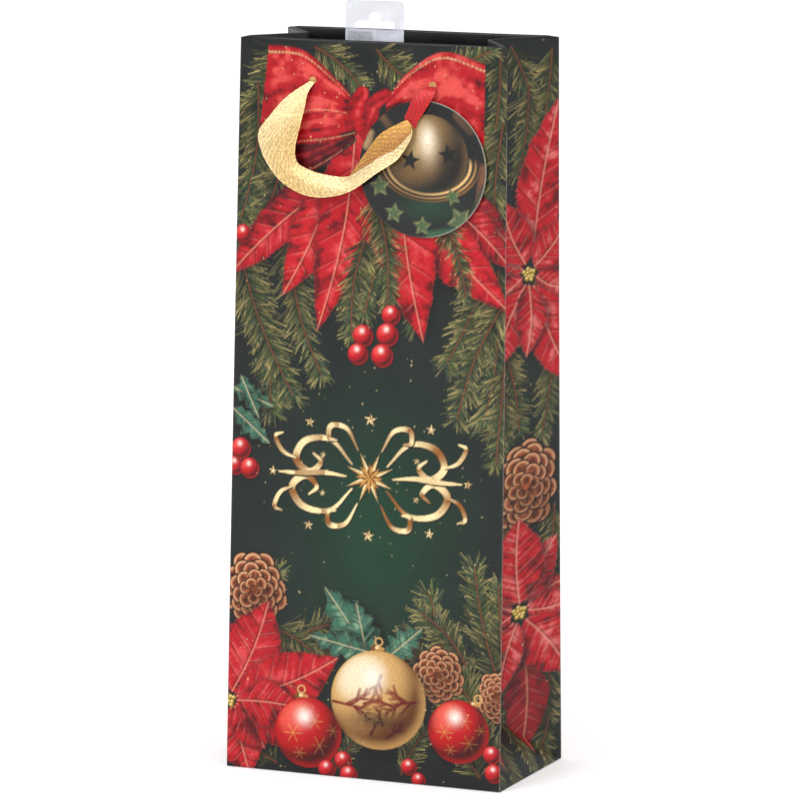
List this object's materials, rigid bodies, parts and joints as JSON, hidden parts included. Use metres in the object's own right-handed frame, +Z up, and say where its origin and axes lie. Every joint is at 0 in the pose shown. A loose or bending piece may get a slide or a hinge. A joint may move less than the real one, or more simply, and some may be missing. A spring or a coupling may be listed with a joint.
{
  "type": "wine gift bag",
  "caption": "Tall gusseted paper bottle bag with a printed botanical pattern, a ribbon handle on each side, a round gift tag and a clear hang tab.",
  "frame": {"origin": "centre of the base's underside, on the surface the bag stands on", "axes": "+Z up along the bag's height, -Y out of the front panel, +X to the right seen from the front"},
  "size_m": [0.14, 0.08, 0.3748],
  "materials": {
    "printed_wall": "laminated print, satin",
    "printed_gusset": "laminated print, satin",
    "turned_hem": "laminated print, satin",
    "plain_paper": "uncoated paper",
    "printed_base": "laminated print, satin",
    "grey_card": "grey board",
    "clear_film": "clear film",
    "glue": "tacky pad",
    "ribbon": "woven metallic, red on its reverse",
    "ribbon_knot": "woven metallic",
    "tag_card": "gloss printed card"
  },
  "bodies": {
    "bag": {"front_panel": "printed_wall", "back_panel": "printed_wall", "left_gusset_front_half": "printed_gusset", "left_gusset_back_half": "printed_gusset", "left_gusset_foot": "printed_gusset", "right_gusset_front_half": "printed_gusset", "right_gusset_back_half": "printed_gusset", "right_gusset_foot": "printed_gusset", "front_hem": "turned_hem", "back_hem": "turned_hem", "left_gusset_hem": "turned_hem", "right_gusset_hem": "turned_hem", "seam_flap": "plain_paper", "base_inner_flap": "plain_paper", "base_side_flaps": "plain_paper", "base_outer_flap": "printed_base", "front_stiffener": "grey_card", "back_stiffener": "grey_card", "base_board": "grey_card", "hang_tab": "clear_film", "hang_tab_glue": "glue", "front_ribbon_knots": "ribbon_knot", "back_ribbon_knots": "ribbon_knot"},
    "front_handle": {"front_ribbon": "ribbon"},
    "back_handle": {"back_ribbon": "ribbon"},
    "tag": {"gift_tag": "tag_card"}
  },
  "joints": [
    {"name": "front_handle_swing", "type": "hinge", "parent": "bag", "child": "front_handle", "pos_m": [0, -0.03113, 0.33588], "axis": [-1, 0, 0], "range_deg": [0, 145]},
    {"name": "back_handle_swing", "type": "hinge", "parent": "bag", "child": "back_handle", "pos_m": [0, 0.03113, 0.33588], "axis": [1, 0, 0], "range_deg": [0, 145]},
    {"name": "tag_swing", "type": "hinge", "parent": "front_handle", "child": "tag", "pos_m": [0.022, -0.03318, 0.32194], "axis": [0, -0.9996, 0.0282], "range_deg": [-40, 10]}
  ]
}
